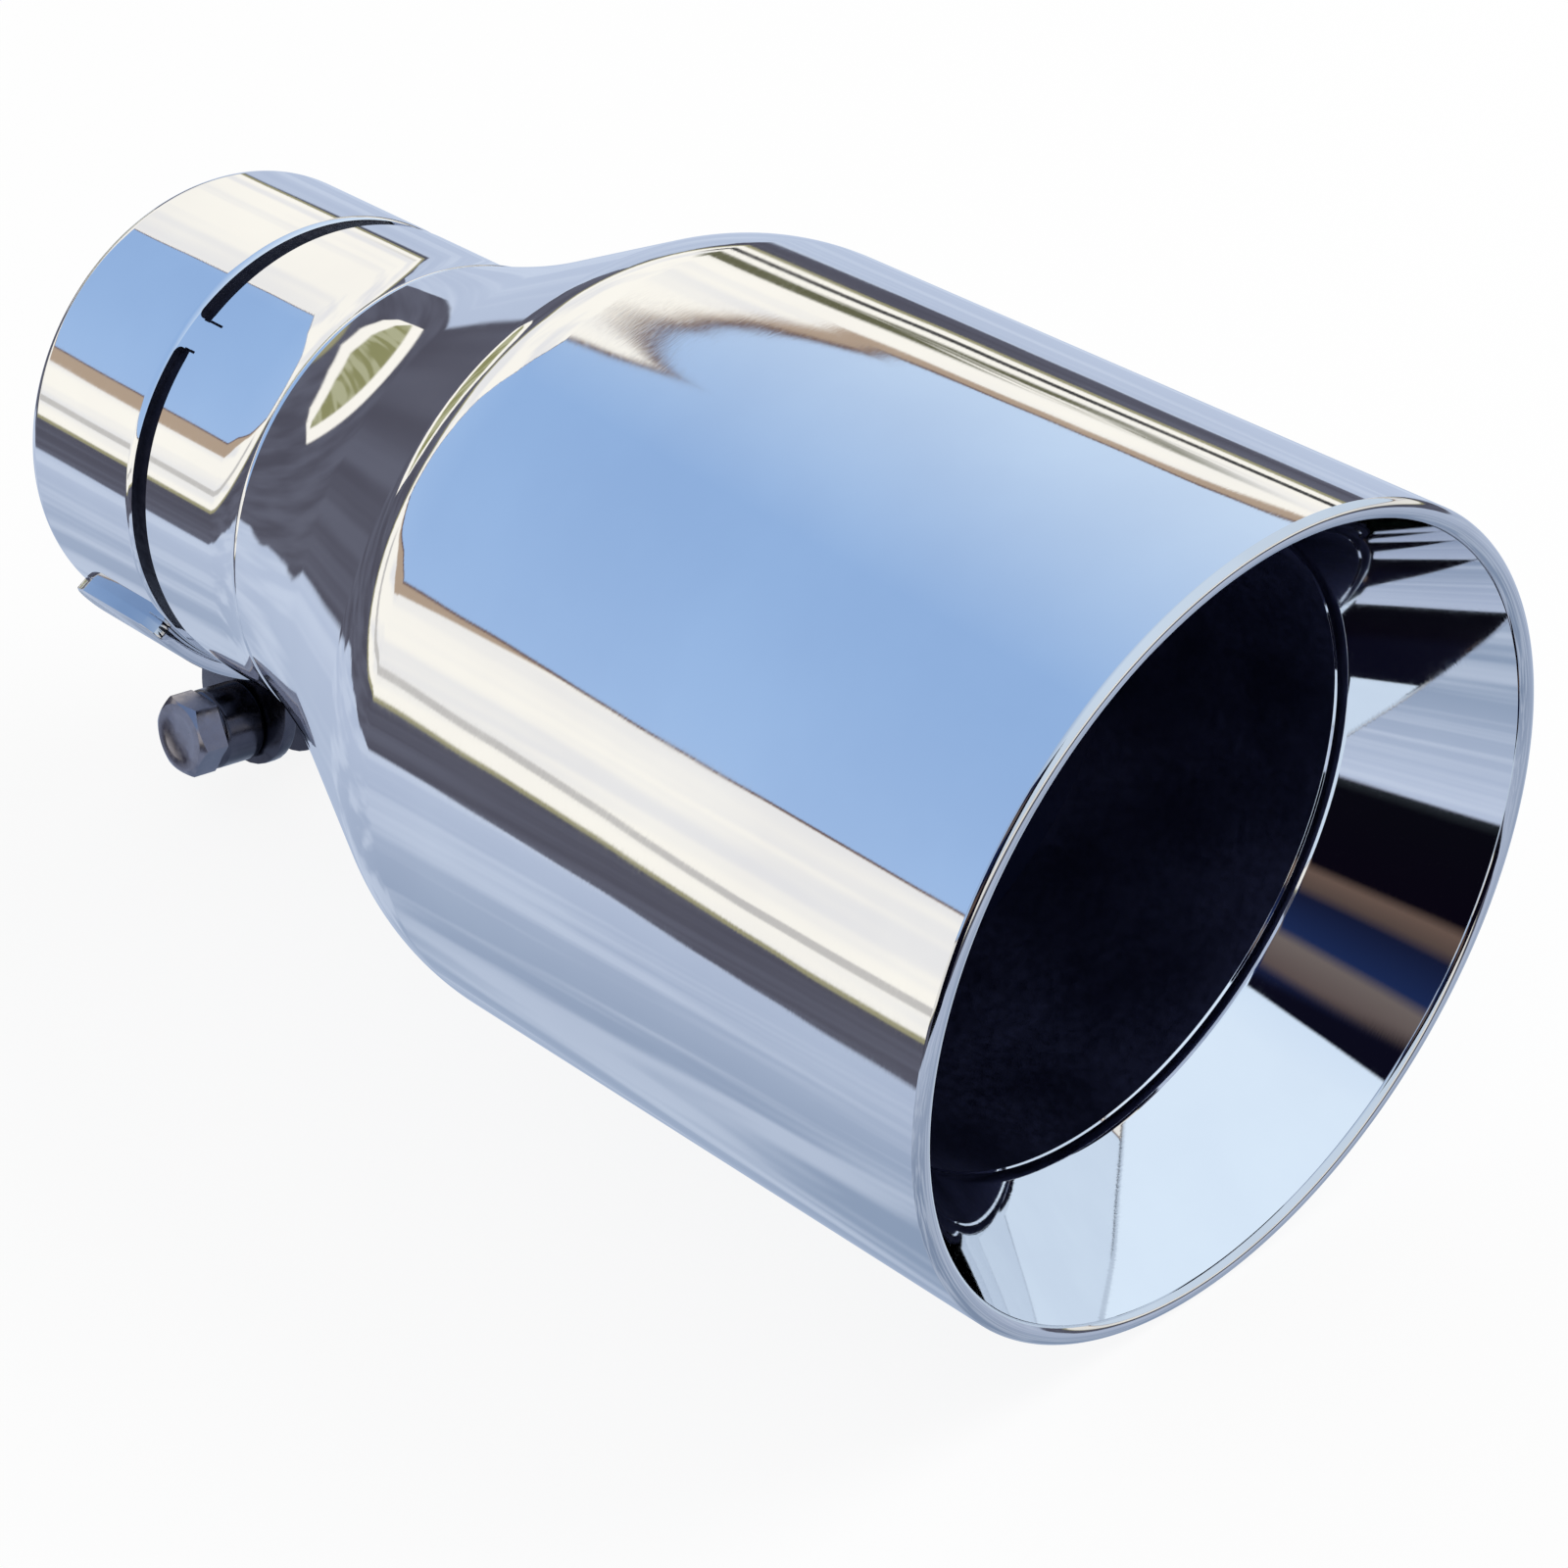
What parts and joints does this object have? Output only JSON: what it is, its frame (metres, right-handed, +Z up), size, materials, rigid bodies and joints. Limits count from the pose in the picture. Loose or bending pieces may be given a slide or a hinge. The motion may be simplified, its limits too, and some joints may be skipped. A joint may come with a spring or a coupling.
{
  "type": "exhaust tip",
  "caption": "Clamp-on exhaust tip: slotted inlet collar with a screw clamp, swaged neck, straight drum and a slant-cut outlet with a bevelled inner wall.",
  "frame": {"origin": "centre of the inlet bore at the collar's open end", "axes": "+X along the gas flow from inlet to outlet, +Z up as the tip is fitted, -Y the side that shows in the picture"},
  "size_m": [0.1892, 0.1016, 0.1016],
  "materials": {
    "polished_steel": "mirror-polished stainless steel",
    "ear_steel": "plain stainless sheet",
    "screw_steel": "plain steel fasteners"
  },
  "bodies": {
    "root": {"inlet_collar": "polished_steel", "neck_weld": "polished_steel", "outer_shell": "polished_steel", "inner_wall": "polished_steel", "rim_weld": "polished_steel", "clamp_ear_front": "ear_steel", "clamp_ear_rear": "ear_steel", "clamp_screw": "screw_steel", "screw_spacer": "screw_steel", "lock_washer": "screw_steel", "clamp_nut": "screw_steel"}
  },
  "joints": []
}
